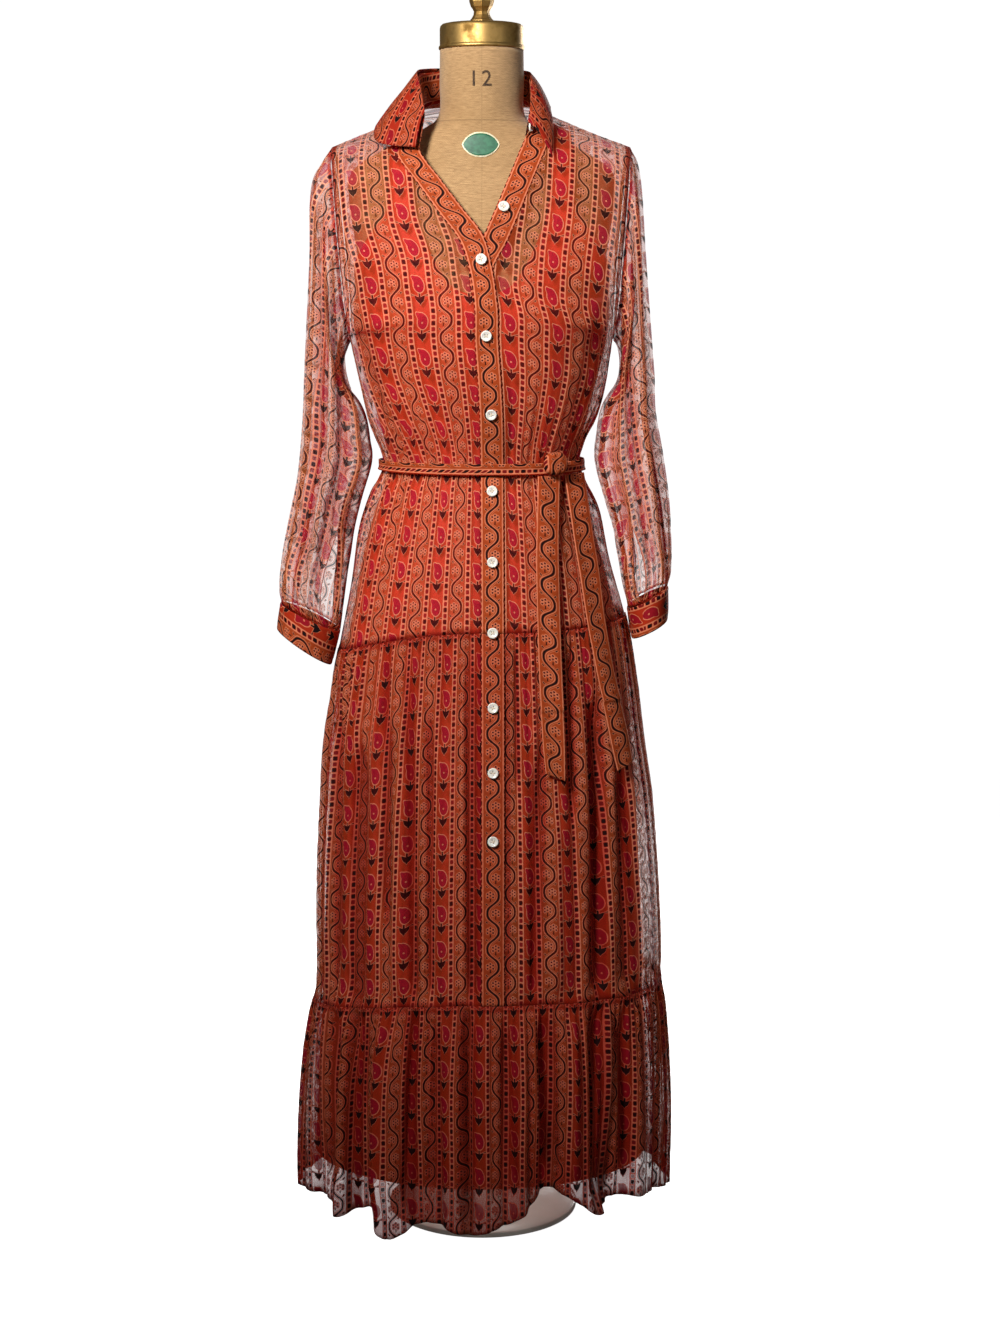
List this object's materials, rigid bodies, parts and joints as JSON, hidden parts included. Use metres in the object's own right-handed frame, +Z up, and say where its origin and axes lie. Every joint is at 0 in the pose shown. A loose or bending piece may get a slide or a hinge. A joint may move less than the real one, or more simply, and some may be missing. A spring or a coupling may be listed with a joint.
{
  "type": "maxi dress on a dress form",
  "caption": "Sheer printed button-front maxi dress with shirt collar, long sleeves, belt and gathered tiers over a plain slip, on a limbless dress form with stand.",
  "frame": {"origin": "centre of the stand's round base, on the floor", "axes": "+Z up, the front of the dress faces -Y, +X towards the wearer's left"},
  "size_m": [0.5139, 0.4183, 1.5894],
  "materials": {
    "printed_chiffon": "sheer crepe chiffon, block-printed in vermilion, crimson, salmon and dark maroon stripes",
    "printed_band": "the same printed cloth, doubled",
    "slip_cloth": "plain red lining cloth, matt",
    "linen": "aged natural linen, glued over a papier-mache form",
    "brass": "old brass, brushed and tarnished",
    "enamel": "plain cream enamel",
    "pearl": "off-white polished shirt button"
  },
  "bodies": {
    "root": {"form_body": "linen", "neck_cap": "brass", "neck_finial": "brass", "stand_base": "enamel", "stand_pole": "enamel", "slip_skirt_front": "slip_cloth", "slip_skirt_back": "slip_cloth", "slip_top_front": "slip_cloth", "slip_top_back": "slip_cloth", "bodice_front_right": "printed_chiffon", "bodice_front_left": "printed_chiffon", "bodice_back": "printed_chiffon", "placket_upper": "printed_band", "placket_under": "printed_band", "placket_skirt": "printed_band", "sleeve_right": "printed_chiffon", "sleeve_left": "printed_chiffon", "cuff_right": "printed_band", "cuff_left": "printed_band", "collar_stand": "printed_band", "collar_fall": "printed_band", "skirt_front_right": "printed_chiffon", "skirt_front_left": "printed_chiffon", "skirt_back": "printed_chiffon", "ruffle_front": "printed_chiffon", "ruffle_back": "printed_chiffon", "belt_band": "printed_band", "belt_knot": "printed_band", "belt_tail_front": "printed_band", "belt_tail_back": "printed_band", "button_1": "pearl", "button_2": "pearl", "button_3": "pearl", "button_4": "pearl", "button_5": "pearl", "button_6": "pearl", "button_7": "pearl", "button_8": "pearl", "button_9": "pearl", "button_10": "pearl", "button_11": "pearl"}
  },
  "joints": []
}
